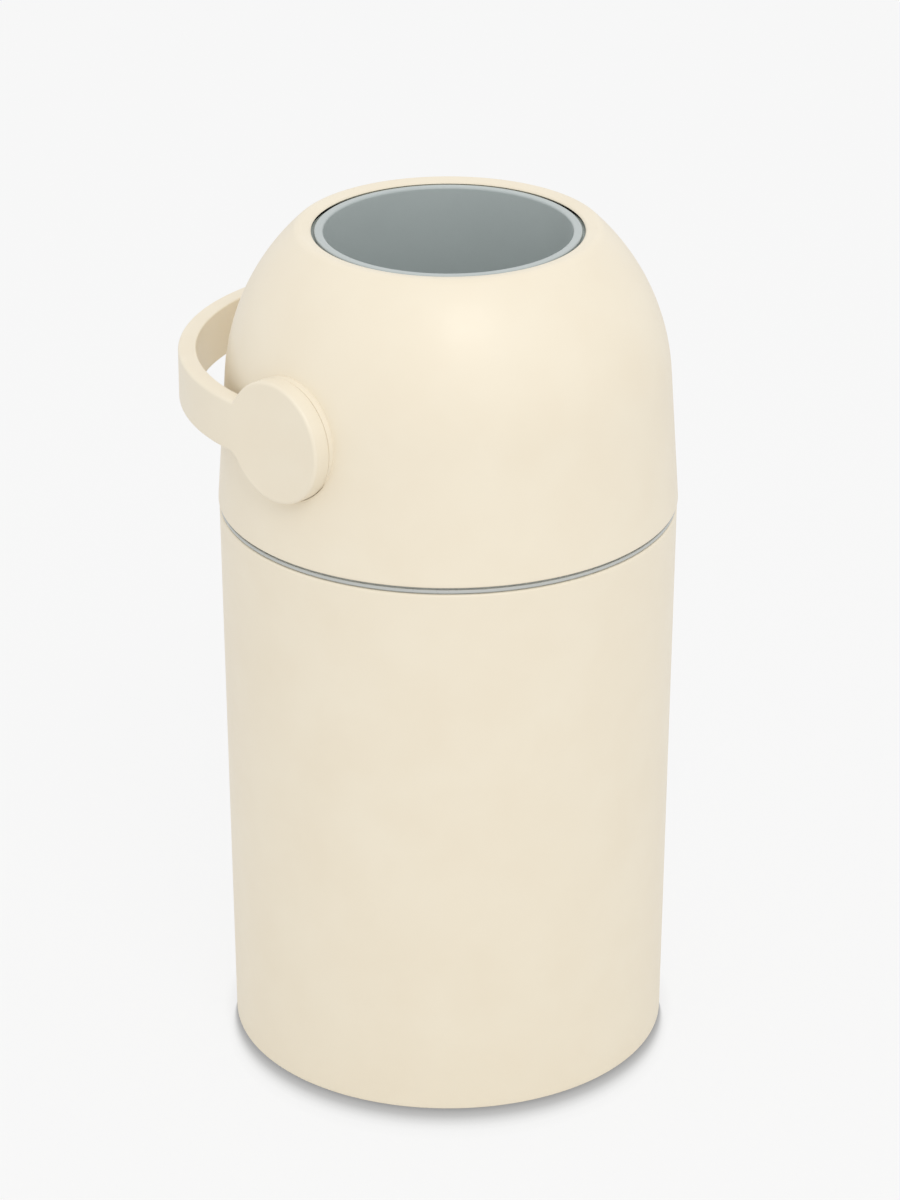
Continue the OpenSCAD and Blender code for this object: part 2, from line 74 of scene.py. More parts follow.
tub_low, tub_high = corners("body_shell")
ring_low, ring_high = corners("bag_ring")
dome_low, dome_high = corners("dome_shell")
_, cup_high = corners("drum_cup")
bowl_low, _ = corners("drum_lower")
bail_low, bail_high = corners("handle")
hinge = next(j for j in frame["joints"] if j["name"] == "drum_turn")
axis_z = hinge["pos_m"][2] / MM
seam_z = dome_low[2]
print(f"axis at {axis_z:.1f}, seam at {seam_z:.1f}, lip at {dome_high[2]:.1f} mm above the floor")

# %% [markdown]
# ## From numbers to a mesh
# A turned moulding is one outline carried round the vertical axis: `x = r cos(a), y = r sin(a)`. The
# outline is a short list of corners, and each corner may be an arc. A support point just outside each arc
# keeps the shading of the flat beside it flat. All points are worked out as whole arrays and then handed
# to Blender in one go.


# %% Outlines with rounded corners
SUPPORT = 0.25


def arc(centre, radius, start, end, steps):
    """centre + radius * (cos a, sin a), for steps + 1 angles a from start to end in degrees."""
    a = np.radians(np.linspace(start, end, steps + 1))
    return np.asarray(centre) + radius * np.column_stack([np.cos(a), np.sin(a)])


def straight(start, end, steps):
    """start + t * (end - start), for steps + 1 values t from 0 to 1."""
    t = np.linspace(0, 1, steps + 1)[:, None]
    return (1 - t) * np.asarray(start) + t * np.asarray(end)


def rounded(corner_list, closed=True, steps=6):
    """An outline of corners (r, z, radius). A corner with a radius becomes the arc that touches both of
    its sides: the arc's centre lies on the corner's bisector, radius / sin(half angle) from the corner.
    Seen from the centre, a point at share t of the arc is (sin((1 - t) turn) first + sin(t turn) last) /
    sin(turn). The two support points lie SUPPORT * radius past the ends of the arc."""
    p = np.array([c[:2] for c in corner_list], float)
    out = []
    for i, (_, _, radius) in enumerate(corner_list):
        at_end = not closed and i in (0, len(p) - 1)
        if radius == 0 or at_end:
            out.append(p[i : i + 1])
            continue
        back = p[i - 1] - p[i]
        ahead = p[(i + 1) % len(p)] - p[i]
        back /= np.linalg.norm(back)
        ahead /= np.linalg.norm(ahead)
        half = np.arccos(np.clip(back @ ahead, -1, 1)) / 2
        middle = (back + ahead) / np.linalg.norm(back + ahead)
        centre = p[i] + middle * radius / np.sin(half)
        first = p[i] + back * radius / np.tan(half)
        last = p[i] + ahead * radius / np.tan(half)
        t = np.linspace(0, 1, steps + 1)[:, None]
        turn = np.pi - 2 * half
        of_first, of_last = np.sin((1 - t) * turn), np.sin(t * turn)
        fan = (of_first * (first - centre) + of_last * (last - centre)) / np.sin(turn)
        support = SUPPORT * radius
        out += [[first + back * support], centre + fan, [last + ahead * support]]
    return np.vstack(out)


# %% Grids of points and their faces
TURNS = 240


def turned(outline, count):
    """Each outline point (r, z) at count angles a: (r cos a, r sin a, z). Rows are angles."""
    a = np.arange(count) * 2 * np.pi / count
    r, z = outline[:, 0], outline[:, 1]
    x, y = np.cos(a)[:, None] * r, np.sin(a)[:, None] * r
    return np.stack([x, y, np.broadcast_to(z, x.shape)], -1)


def grid_faces(rows, columns, wrap_rows, wrap_columns):
    """The quads of a grid of points: point (i, j) is joined to (i, j+1), (i+1, j+1) and (i+1, j)."""
    i = np.arange(rows if wrap_rows else rows - 1)[:, None]
    j = np.arange(columns if wrap_columns else columns - 1)[None, :]
    i2, j2 = (i + 1) % rows, (j + 1) % columns
    quads = [i * columns + j, i * columns + j2, i2 * columns + j2, i2 * columns + j]
    return np.stack([np.broadcast_to(q, (i.size, j.size)) for q in quads], -1).reshape(-1, 4)


# %% A finished piece
MERGE = 2e-6


def moulding(name, points, quads, body, stands_for, finish, sharp=50):
    """Puts points in millimetres and quads into a mesh, closes its poles and seams by merging points
    within MERGE metres, turns its faces outward, and lets the piece ride on its body in place of the CAD
    nodes. Edges that turn by more than sharp degrees stay sharp."""
    mesh = bpy.data.meshes.new(name)
    mesh.from_pydata((points.reshape(-1, 3) * MM).tolist(), [], quads.tolist())
    work = bmesh.new()
    work.from_mesh(mesh)
    bmesh.ops.remove_doubles(work, verts=work.verts, dist=MERGE)
    bmesh.ops.recalc_face_normals(work, faces=work.faces)
    work.to_mesh(mesh)
    work.free()
    mesh.shade_smooth()
    mesh.set_sharp_from_angle(angle=np.radians(sharp))
    material, slot = finish
    mesh.materials.append(material)
    piece = bpy.data.objects.new(name, mesh)
    bpy.context.scene.collection.objects.link(piece)
    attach(piece, body)
    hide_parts(*stands_for)
    print(f"{name}: {len(mesh.polygons)} faces on {body}, in place of {', '.join(stands_for)}")


def turned_moulding(name, outline, hollow, body, stands_for, finish):
    """A moulding turned about the vertical axis. The outline of a hollow one closes on itself, and that
    of one with a floor starts and ends on the axis, where its points merge into a pole."""
    points = turned(outline, TURNS)
    quads = grid_faces(TURNS, len(outline), True, hollow)
    moulding(name, points, quads, body, stands_for, finish)


# %% [markdown]
# ## Finishes
# The bin is injection moulded. Its plastics are dull because the mould was spark eroded, which leaves
# grains of about a third of a millimetre. Seen closer, a moulded skin is never quite even: it sinks a
# few hundredths over ribs and bosses, and its colour drifts a little as the melt flows. So each plastic
# here is one colour with a slight drift, a fine grain in its bump, a slow swell under that, and a
# roughness that wanders. The patterns read Object coordinates, which stay with the piece when it turns.


# %% A moulded plastic
MIDDLE = (0.3, 0.7)
DRIFT_WAVE = 40
GLOSS_WAVE = 6
SWELL_WAVE = 55
GRAIN_WAVE = 0.35


def linear(red, green, blue):
    """A screen colour of 0 to 255 as the linear values that shaders take, by the sRGB curve."""
    c = np.array([red, green, blue]) / 255
    return (*np.where(c <= 0.04045, c / 12.92, ((c + 0.055) / 1.055) ** 2.4), 1.0)


def noise(tree, position, wavelength, detail=2.0):
    """A soft random pattern whose bumps are about one wavelength apart, in millimetres."""
    node = tree.nodes.new("ShaderNodeTexNoise")
    node.inputs["Scale"].default_value = 1 / (wavelength * MM)
    node.inputs["Detail"].default_value = detail
    tree.links.new(position, node.inputs["Vector"])
    return node.outputs["Fac"]


def bump(tree, height, depth, strength, under=None):
    """Turns a pattern into a slope of the surface: depth is in millimetres from valley to hill."""
    node = tree.nodes.new("ShaderNodeBump")
    node.inputs["Distance"].default_value = depth * MM
    node.inputs["Strength"].default_value = strength
    tree.links.new(height, node.inputs["Height"])
    if under is not None:
        tree.links.new(under, node.inputs["Normal"])
    return node.outputs["Normal"]


def drift(tree, pattern, low, high):
    """A colour that drifts from low to high as the pattern goes through its middle range."""
    node = tree.nodes.new("ShaderNodeValToRGB")
    for element, position, colour in zip(node.color_ramp.elements, MIDDLE, (low, high)):
        element.position = position
        element.color = colour
    tree.links.new(pattern, node.inputs["Fac"])
    return node.outputs["Color"]


def wander(tree, pattern, low, high):
    """A number that goes from low to high as the pattern goes through its middle range."""
    node = tree.nodes.new("ShaderNodeMapRange")
    node.inputs["From Min"].default_value, node.inputs["From Max"].default_value = MIDDLE
    node.inputs["To Min"].default_value = low
    node.inputs["To Max"].default_value = high
    tree.links.new(pattern, node.inputs["Value"])
    return node.outputs["Result"]


def surface(name):
    """A new material with its tree, its shader and its Object coordinates."""
    material = bpy.data.materials.new(name)
    material.use_nodes = True
    tree = material.node_tree
    shader = tree.nodes["Principled BSDF"]
    position = tree.nodes.new("ShaderNodeTexCoord").outputs["Object"]
    return material, tree, shader, position


def moulded_plastic(name, light, dark, roughness, grain_depth, swing=0.03):
    """A dull moulded plastic. Its colour drifts between dark and light, its roughness wanders by swing to
    either side, and its grain, grain_depth millimetres deep, lies on a slow swell."""
    material, tree, shader, position = surface(name)
    shader.inputs["IOR"].default_value = 1.5
    colour = drift(tree, noise(tree, position, DRIFT_WAVE), dark, light)
    gloss = wander(tree, noise(tree, position, GLOSS_WAVE, detail=4), roughness - swing, roughness + swing)
    swell = bump(tree, noise(tree, position, SWELL_WAVE, detail=1), depth=0.05, strength=0.6)
    fine = noise(tree, position, GRAIN_WAVE, detail=3)
    grain = bump(tree, fine, grain_depth, strength=0.5, under=swell)
    tree.links.new(colour, shader.inputs["Base Color"])
    tree.links.new(gloss, shader.inputs["Roughness"])
    tree.links.new(grain, shader.inputs["Normal"])
    print(f"{name}: grain {grain_depth} mm deep, roughness about {roughness}")
    return material


cream = moulded_plastic("cream_plastic", linear(240, 230, 209), linear(238, 227, 205), 0.38, 0.02)
grey = moulded_plastic("grey_plastic", linear(182, 190, 189), linear(179, 187, 186), 0.31, 0.006)
ring_grey = moulded_plastic("ring_plastic", linear(190, 193, 190), linear(184, 187, 184), 0.3, 0.008)
ball_grey = moulded_plastic("drum_plastic", linear(176, 185, 181), linear(171, 181, 177), 0.42, 0.012)
bush_white = moulded_plastic("bush_plastic", linear(214, 213, 205), linear(206, 206, 198), 0.35, 0.006)

CREAM = (cream, "cream_plastic")
GREY = (grey, "grey_plastic")
RING = (ring_grey, "grey_plastic")
DRUM = (ball_grey, "drum_plastic")

# %% [markdown]
# ## Rubber and steel
# The seals and the foot pad are dark soft rubber: almost no gloss, with talc-like mottling. The axles and
# screws are steel. A turned or rolled part shows fine lines along its length, so its noise is stretched
# by a Mapping node until each grain is a line.


# %% Rubber and steel
BLOOM_WAVE = 9
RUBBER_GRAIN = 0.5
LINE_WAVE = 0.25
LINE_STRETCH = 40


def soft_rubber(name):
    """Dark rubber: high roughness, with a paler bloom in patches and a coarse grain."""
    material, tree, shader, position = surface(name)
    bloom = noise(tree, position, BLOOM_WAVE, detail=3)
    colour = drift(tree, bloom, linear(50, 51, 51), linear(62, 63, 62))
    grain = bump(tree, noise(tree, position, RUBBER_GRAIN), depth=0.03, strength=0.5)
    tree.links.new(colour, shader.inputs["Base Color"])
    tree.links.new(wander(tree, bloom, low=0.68, high=0.8), shader.inputs["Roughness"])
    tree.links.new(grain, shader.inputs["Normal"])
    print(f"{name}: bloom over {BLOOM_WAVE} mm")
    return material


def brushed_steel(name):
    """Steel with fine lines along X: the noise is LINE_STRETCH times longer along X than across it."""
    material, tree, shader, position = surface(name)
    stretch = tree.nodes.new("ShaderNodeMapping")
    stretch.inputs["Scale"].default_value = (1 / LINE_STRETCH, 1, 1)
    tree.links.new(position, stretch.inputs["Vector"])
    lines = noise(tree, stretch.outputs["Vector"], LINE_WAVE, detail=3)
    colour = drift(tree, lines, linear(186, 188, 192), linear(206, 208, 211))
    shader.inputs["Metallic"].default_value = 1
    tree.links.new(colour, shader.inputs["Base Color"])
    tree.links.new(wander(tree, lines, low=0.26, high=0.4), shader.inputs["Roughness"])
    tree.links.new(bump(tree, lines, depth=0.008, strength=0.5), shader.inputs["Normal"])
    print(f"{name}: lines along X")
    return material


rubber = soft_rubber("seal_rubber")
steel = brushed_steel("brushed_steel")

# %% [markdown]
# ## The tub
# The body is one deep moulding with a slight taper, which lets it leave its mould. Its foot and its top
# edge are rounded only a little: the top edge catches the light as a thin bright line under the ring. A
# recess underneath holds the non-slip pad.

# %% The tub
tub_base_r = 125.8
tub_top_r = tub_high[0]
tub_wall = 3
tub_floor = 3.5
foot_round = 1
top_round = 1.5
inner_corner = 4
recess_r = 108.05
recess_depth = 1.4
recess_z = tub_low[2] + recess_depth
floor_z = recess_z + tub_floor


def tub_r(z):
    """Radius of the tub's outside, which grows evenly from the floor to the top edge."""
    return tub_base_r + (tub_top_r - tub_base_r) * z / tub_high[2]


tub_outline = rounded(
    [
        (0, recess_z, 0),
        (recess_r, recess_z, 0.3),
        (recess_r, tub_low[2], 0.4),
        (tub_r(tub_low[2]), tub_low[2], foot_round),
        (tub_top_r, tub_high[2], top_round),
        (tub_top_r - tub_wall, tub_high[2], 0.5),
        (tub_r(floor_z) - tub_wall, floor_z, inner_corner),
        (0, floor_z, 0),
    ],
    closed=False,
    steps=9,
)
turned_moulding("tub", tub_outline, False, "body", ["body_shell"], CREAM)

# %% [markdown]
# ## The bag ring
# The ring clamps the mouth of the bag on the tub's edge. Only its flange shows, as a grey band between
# tub and lid, and its skirt hangs inside. The band lies between two slits: the bag's film passes through
# the lower one, and the upper one parts it from the lid. So it has a fine dark line above and below, and
# doesn't read as a printed stripe.

# %% The bag ring
ring_round = 0.6
bag_room = 0.6
skirt_wall = 2.5
slit_depth = 1.5
lower_slit = 0.7
upper_slit = 0.5
slit_r = ring_high[0] - slit_depth
band_low = tub_high[2] + lower_slit
band_high = ring_high[2] - upper_slit
skirt_r = tub_r(ring_low[2]) - tub_wall - bag_room
ring_outline = rounded(
    [
        (skirt_r - skirt_wall, ring_low[2], ring_round),
        (skirt_r, ring_low[2], ring_round),
        (skirt_r, tub_high[2], 0),
        (slit_r, tub_high[2], 0),
        (slit_r, band_low, 0),
        (ring_high[0], band_low, ring_round),
        (ring_high[0], band_high, ring_round),
        (slit_r, band_high, 0),
        (slit_r, ring_high[2], 0.3),
        (skirt_r - skirt_wall, ring_high[2], ring_round),
    ]
)
turned_moulding("ring", ring_outline, True, "ring", ["bag_ring"], RING)

# %% [markdown]
# ## The dome
# The lid's shell is a short cone that runs smoothly into a ball, then rolls over into a lip that falls a
# little towards the mouth. The underside of the lip is hollowed where the ball passes it. A turned
# outline gives all of that. What it can't give is the round seat behind each hub of the handle, with the
# pocket round it, because those lie across the turning axis.
#
# So a window is left in the turned grid on each side, and filled with rings about the hub's own axis.
# Near the axis the rings are circles, which follow the seat and the pocket. Towards the window they
# change little by little into its square edge. The height of every ring comes from the same dome, so the
# seam between the two grids can't be seen.

# %% Lines of the dome
seam_r = 130
dome_r = 125.1
dome_up = 68
dome_wall = 3
mouth_r = 75.5
lip_w = 6.8
lip_slope = 8
lip_round = 2.2
roll_r = 5.5
mouth_room = 1
seam_round = 1.2
dome_z = seam_z + dome_up
cone_a = np.degrees(np.arccos(dome_r / np.hypot(seam_r, dome_up)) - np.arctan2(dome_up, seam_r))
cone_tan, cone_cos = np.tan(np.radians(cone_a)), np.cos(np.radians(cone_a))
roll_a = np.degrees(np.arccos((mouth_r + lip_w) / (dome_r - roll_r)))
roll_centre = np.array([mouth_r + lip_w, dome_z + (dome_r - roll_r) * np.sin(np.radians(roll_a))])
fall = np.sin(np.radians(lip_slope)) * (lip_w - lip_round)
lip_drop = (roll_r - lip_round - fall) / np.cos(np.radians(lip_slope))
lip_centre = np.array([mouth_r + lip_round, roll_centre[1] + lip_drop])


def dome_radius(z, inset):
    """Radius at height z: the cone up to where it touches the ball, and above that the ball, with both
    moved inwards by inset."""
    up = z - dome_z
    radius = dome_r - inset
    ball = np.sqrt(np.maximum(radius**2 - up**2, 0))
    cone = seam_r - inset / cone_cos - (z - seam_z) * cone_tan
    return np.where(up < radius * np.sin(np.radians(cone_a)), cone, ball)


def dome_x(y, z, inset):
    """How far out along X the dome's skin lies over the point (y, z) of the hub's plane."""
    return np.sqrt(dome_radius(z, inset) ** 2 - y**2)


foot = [seam_r - seam_round * (cone_tan + 1 / cone_cos), seam_z + seam_round]
foot_arc = arc(foot, seam_round, -90, cone_a, steps=6)


def dome_line(start, inset):
    """The dome's generating line from the point start up to its lip, moved inwards by inset."""
    ball = arc([0, dome_z], dome_r - inset, cone_a, roll_a, steps=36)
    roll = arc(roll_centre, roll_r - inset, roll_a, 90 + lip_slope, steps=12)
    return np.vstack([straight(start, ball[0], steps=30), ball[1:], roll[1:]])


def meeting_turn(centre, radius, other, other_radius):
    """The direction from centre at which its circle meets the other circle, by the law of cosines: the
    sides of the triangle are the radius, the distance between the centres and the other radius."""
    way = np.asarray(other) - centre
    distance = np.linalg.norm(way)
    corner = (radius**2 + distance**2 - other_radius**2) / (2 * radius * distance)
    return np.degrees(np.arctan2(way[1], way[0]) - np.arccos(corner)) % 360


ball_r = axis_z - bowl_low[2]
hollow_r = ball_r + mouth_room
outer_line = dome_line(foot_arc[-1], 0)
inner_line = dome_line([seam_r - dome_wall / cone_cos, seam_z], dome_wall)
lip_end = meeting_turn(lip_centre, lip_round, [0, axis_z], hollow_r)
lip_arc = arc(lip_centre, lip_round, 90 + lip_slope, lip_end, steps=8)[1:]
hollow_turns = np.degrees(np.arccos(np.array([lip_arc[-1, 0], lip_centre[0]]) / hollow_r))
hollow_arc = arc([0, axis_z], hollow_r, *hollow_turns, steps=4)[1:]
dome_outline = np.vstack([foot_arc[:-1], outer_line, lip_arc, hollow_arc, inner_line[::-1]])
print(f"cone of {cone_a:.2f} degrees, {len(dome_outline)} points round the dome's section")

# %% [markdown]
# The rings of the hub's place are a list of radii. For each one, a rule says how far out its points lie:
# on the seat's face, on the rounding of its edge, on the pocket's floor, up the pocket's wall, or on the
# dome. A low step keeps the seat above the pocket's floor, and the hub dips into the pocket without
# touching it.

# %% Rings of the hub's place
hub_thick = 10.5
hub_x = bail_high[0] - hub_thick
hub_r = (bail_high[2] - bail_low[2]) / 2
gap_behind_hub = 0.15
gap_round_hub = 0.2
seat_inset = 0.4
seat_edge = 0.25
back_behind_hub = 4.7
pocket_depth = 0.6
pocket_edge = 0.35
back_step = 0.6
bush_r = 12.05
window_r = 41
hair = 0.01
seat_x = hub_x - gap_behind_hub
seat_r = hub_r - seat_inset
seat_back = hub_x - back_behind_hub
pocket_x = seat_x - pocket_depth
pocket_r = hub_r + gap_round_hub
pocket_back = seat_back + back_step
boss_r = pocket_r + dome_wall


def level(x):
    """A ring that lies flat at one distance along X."""
    return lambda y, z: np.full_like(y, x)


def on_skin(inset, ceiling=np.inf):
    """A ring that follows the dome's skin, but goes no further out than the ceiling."""
    return lambda y, z: np.minimum(dome_x(y, z, inset), ceiling)


def on_pocket_edge(t):
    """A ring on the rounded edge of the pocket: the skin, less (1 - sin t) times the rounding, or times
    the pocket's depth where that is less. On the upper side the dome lies below the pocket's floor, so
    there is no pocket and no edge."""

    def rule(y, z):
        skin = dome_x(y, z, 0)
        drop = np.clip(skin - pocket_x, 0, pocket_edge)
        return skin - drop * (1 - np.sin(t))

    return rule


quarter = np.radians(np.linspace(0, 90, 5))
rise, run = 1 - np.sin(quarter), 1 - np.cos(quarter)
outer_rings = [(r, level(seat_x)) for r in (bush_r, bush_r + 0.4, 18, 24, 29, seat_r - 2 * seat_edge)]
outer_rings += [(seat_r - seat_edge * a, level(seat_x - seat_edge * b)) for a, b in zip(rise, run)]
outer_rings += [(r, on_skin(0, pocket_x)) for r in (seat_r + hair, seat_r + 0.3, pocket_r)]
outer_rings += [(pocket_r + hair + pocket_edge * b, on_pocket_edge(t)) for b, t in zip(run, quarter)]
outer_rings += [(r, on_skin(0)) for r in (pocket_r + 1.2, pocket_r + 2.5, window_r)]

inner_rings = [(r, on_skin(dome_wall, seat_back)) for r in (bush_r, 18, 22, 25, 28, 31, seat_r)]
inner_rings += [(r, on_skin(dome_wall, pocket_back)) for r in (seat_r + hair, 36, boss_r)]
inner_rings += [(r, on_skin(dome_wall)) for r in (boss_r + hair, boss_r + 1, window_r)]
print(f"{len(outer_rings)} rings outside and {len(inner_rings)} inside")

# %% [markdown]
# A window is a block of the grid: its edge is a list of point numbers, taken round in the same order
# outside and inside. That order pairs the two innermost rings, and a wall between them lines the hole
# in which the bearing bush sits.

# %% Fill the windows
window_columns = 15
window_half = 46
columns = len(dome_outline)
dome_grid = turned(dome_outline, TURNS).reshape(-1, 3)
dome_quads = grid_faces(TURNS, columns, True, True)
quad_row, quad_column = np.divmod(dome_quads[:, 0], columns)


def window_edge(middle_row, bottom, top):
    """Numbers of the grid's points round a window: along the bottom, up, back along the top, down."""
    rows = np.arange(middle_row - window_columns, middle_row + window_columns + 1) % TURNS
    step = np.sign(top - bottom)
    up = np.arange(bottom, top + step, step)
    sides = [(rows[:-1], bottom), (rows[-1], up[:-1]), (rows[:0:-1], top), (rows[0], up[:0:-1])]
    return np.concatenate([row * columns + column for row, column in sides])


def window_quads(middle_row, bottom, top):
    """True for each quad of the grid that lies in the window."""
    turn = (quad_row - middle_row + window_columns) % TURNS
    low, high = min(bottom, top), max(bottom, top)
    return (turn < 2 * window_columns) & (quad_column >= low) & (quad_column < high)


def window_rings(side, edge, rings, inset, hole_turn):
    """Points of the rings, from the hole out to the window. A point's direction goes evenly from that of
    its partner on the hole to that of its partner on the window, and past the last circle its place
    goes evenly from the circle to the window."""
    edge_y, edge_z = dome_grid[edge, 1], dome_grid[edge, 2]
    edge_turn = np.arctan2(edge_z - axis_z, edge_y)
    lag = (edge_turn - hole_turn + np.pi) % (2 * np.pi) - np.pi
    out = []
    for i, (radius, rule) in enumerate(rings):
        a = hole_turn + lag * i / (len(rings) - 1)
        y, z = radius * np.cos(a), axis_z + radius * np.sin(a)
        out.append(np.column_stack([side * rule(y, z), y, z]))
    for t in (0.25, 0.5, 0.75):
        between_y, between_z = (1 - t) * y + t * edge_y, (1 - t) * z + t * edge_z
        out.append(np.column_stack([side * dome_x(between_y, between_z, inset), between_y, between_z]))
    return np.stack(out)


def strips(rows):
    """The quads between each closed row of point numbers and the next."""
    ahead = np.roll(rows, -1, axis=1)
    return np.stack([rows[:-1], ahead[:-1], ahead[1:], rows[1:]], -1).reshape(-1, 4)


in_window = np.flatnonzero(np.abs(outer_line[:, 1] - axis_z) < window_half)
first_outside = len(foot_arc) - 1
skins = [
    (first_outside + in_window[0], first_outside + in_window[-1], outer_rings, 0),
    (columns - 1 - in_window[0], columns - 1 - in_window[-1], inner_rings, dome_wall),
]
dome_points, dome_faces = [dome_grid], []
kept = np.ones(len(dome_quads), bool)
for side, middle_row in ((1, 0), (-1, TURNS // 2)):
    rims = []
    outside_edge = window_edge(middle_row, *skins[0][:2])
    hole_turn = np.arctan2(dome_grid[outside_edge, 2] - axis_z, dome_grid[outside_edge, 1])
    for bottom, top, rings, inset in skins:
        kept &= ~window_quads(middle_row, bottom, top)
        edge = window_edge(middle_row, bottom, top)
        points = window_rings(side, edge, rings, inset, hole_turn)
        numbers = np.arange(points[..., 0].size).reshape(points.shape[:2]) + sum(map(len, dome_points))
        dome_points.append(points.reshape(-1, 3))
        dome_faces.append(strips(np.vstack([numbers, edge])))
        rims.append(numbers[0])
    dome_faces.append(strips(np.stack(rims)))
dome_points, dome_faces = np.vstack(dome_points), np.vstack([dome_quads[kept], *dome_faces])
moulding("dome", dome_points, dome_faces, "lid", ["dome_shell"], CREAM, sharp=40)

# %% [markdown]
# ## The cup
# The cup is a deep grey moulding with a slight taper and a round floor. Its rim is flat on top, with a
# soft outer edge and a rounder inner one, which shows as a bright line all round.

# %% The cup
rim_z = cup_high[2]
rim_r = cup_high[0]
rim_thick = 2.8
rim_w = 5
cup_taper = 4.4
cup_depth = 125
cup_wall = 2.4
cup_corner = 16
cup_r = rim_r - rim_w
cup_floor_r = cup_r - cup_taper
cup_floor = rim_z - cup_depth
cup_outline = rounded(
    [
        (0, cup_floor - cup_wall, 0),
        (cup_floor_r, cup_floor - cup_wall, cup_corner + cup_wall),
        (cup_r + cup_wall, rim_z - rim_thick, 0.3),
        (rim_r, rim_z - rim_thick, 0.5),
        (rim_r, rim_z, 0.9),
        (cup_r, rim_z, 1.2),
        (cup_floor_r, cup_floor, cup_corner),
        (0, cup_floor, 0),
    ],
    closed=False,
    steps=10,
)
turned_moulding("cup", cup_outline, False, "drum", ["drum_cup"], GREY)

# %% [markdown]
# ## The ball
# When the handle swings over, the closed side of the ball fills the mouth, so this bowl has to be as
# smooth as the dome. Its upper edge has a thin lap that reaches up inside the upper shell. The upper
# shell keeps its exact solid, with its pads and screw holes.

# %% The bowl of the ball
ball_wall = 2.5
split = 32
lap_up = 3.95
lap_r = np.sqrt(ball_r**2 - split**2) - ball_wall / 2
lap_in_r = lap_r - ball_wall / 2
split_a = np.degrees(np.arcsin(-split / ball_r))
split_in_a = np.degrees(np.arcsin(-split / (ball_r - ball_wall)))
split_z = axis_z - split
lap_corners = [
    (lap_r, split_z, 0),
    (lap_r, split_z + lap_up, 0.2),
    (lap_in_r, split_z + lap_up, 0.2),
    (lap_in_r, split_z, 0),
]
bowl_outline = np.vstack(
    [
        arc([0, axis_z], ball_r, -90, split_a, steps=72),
        rounded(lap_corners, closed=False, steps=3),
        arc([0, axis_z], ball_r - ball_wall, split_in_a, -90, steps=40),
    ]
)
turned_moulding("bowl", bowl_outline, False, "drum", ["drum_lower"], DRUM)

# %% [markdown]
# ## The bail
# The handle is one flat band with a round hub at each end, bent into a U. So it is drawn flat first: s
# runs along the band from the hub's middle, and w across it. The outline is the hub's circle, a hollow
# fillet, and the band's edge. Everywhere it knows which way is inward, and a rounded cross-section is
# carried along it. Then one formula bends the flat shape: past the straight arm, s becomes an angle.

# %% The bail
bail_thick = 10.2
bail_w = 30
arm = 25
mid_r = bail_high[0] - hub_thick / 2
bail_end = arm + mid_r * np.pi / 2
outer_edge = 1.8
inner_edge = 1
upper_fillet = 3
lower_fillet = 9
step_length = 12
band_steps = 60
edge_steps = 6
face_steps = 8
support_at = 1.4


def bail_edge(fillet):
    """Points (s, w) along half of the bail's edge, from the hub's far end to the band's middle, and the
    inward direction at each: towards the centre of the hub, away from the centre of the fillet, or
    straight across the band."""
    reach = np.sqrt((hub_r + fillet) ** 2 - (bail_w / 2 + fillet) ** 2)
    centre = np.array([reach, bail_w / 2 + fillet])
    turn = np.degrees(np.arctan2(centre[1], centre[0]))
    hub = arc([0, 0], hub_r, 180, turn, steps=48)
    hollow = arc(centre, fillet, turn - 180, -90, steps=12)[1:]
    band = straight(hollow[-1], [bail_end, bail_w / 2], band_steps)[1:]
    inward = np.vstack([-hub / hub_r, (hollow - centre) / fillet, np.broadcast_to([0, -1], band.shape)])
    return np.vstack([hub, hollow, band]), inward


def half_thickness(s):
    """Half of the bail's thickness at s: the hub's, then a smooth step t t (3 - 2 t) down to the band's,
    where t goes from 0 to 1 over the step's length."""
    t = np.clip((s - hub_r) / step_length, 0, 1)
    return (hub_thick + (bail_thick - hub_thick) * t * t * (3 - 2 * t)) / 2


def bent(s, w, out):
    """The bent bail: x = -(middle radius + out) cos(a), y = arm + (middle radius + out) sin(a), where the
    angle a is how far s lies past the straight arm, divided by the middle radius."""
    a = np.maximum(s - arm, 0) / mid_r
    reach = mid_r + out
    return np.stack([-reach * np.cos(a), np.minimum(s, arm) + reach * np.sin(a), axis_z + w], -1)


def edge_points(fillet, sign):
    """The cross-section of the rounded edge at each point of the bail's edge: a quarter round outside, a
    quarter round inside, and a support point on each face, support_at roundings from the edge. Rows
    follow the edge. The bent points come first, and then the flat ones (s, w, out)."""
    edge, inward = bail_edge(fillet)
    t = np.radians(np.linspace(0, 90, edge_steps + 1))
    rise, run = 1 - np.sin(t), 1 - np.cos(t)
    outside = outer_edge * np.concatenate([[support_at], rise])
    inside = inner_edge * np.concatenate([rise[::-1], [support_at]])
    inset = np.concatenate([outside, inside])
    sink = np.concatenate([[0], outer_edge * run, inner_edge * run[::-1], [0]])
    facing = np.concatenate([np.ones_like(outside), -np.ones_like(inside)])
    s = edge[:, :1] + inward[:, :1] * inset
    w = sign * (edge[:, 1:] + inward[:, 1:] * inset)
    out = facing * (half_thickness(edge[:, :1]) - sink)
    return bent(s, w, out), np.stack([s, w, out], -1)


def face_points(start, end, steps):
    """Points on a flat face between two supports, worked out before the bend so that it stays even."""
    t = np.linspace(0, 1, steps + 1)[1:-1, None]
    flat = (1 - t) * start[:, None] + t * end[:, None]
    return bent(flat[..., 0], flat[..., 1], flat[..., 2])


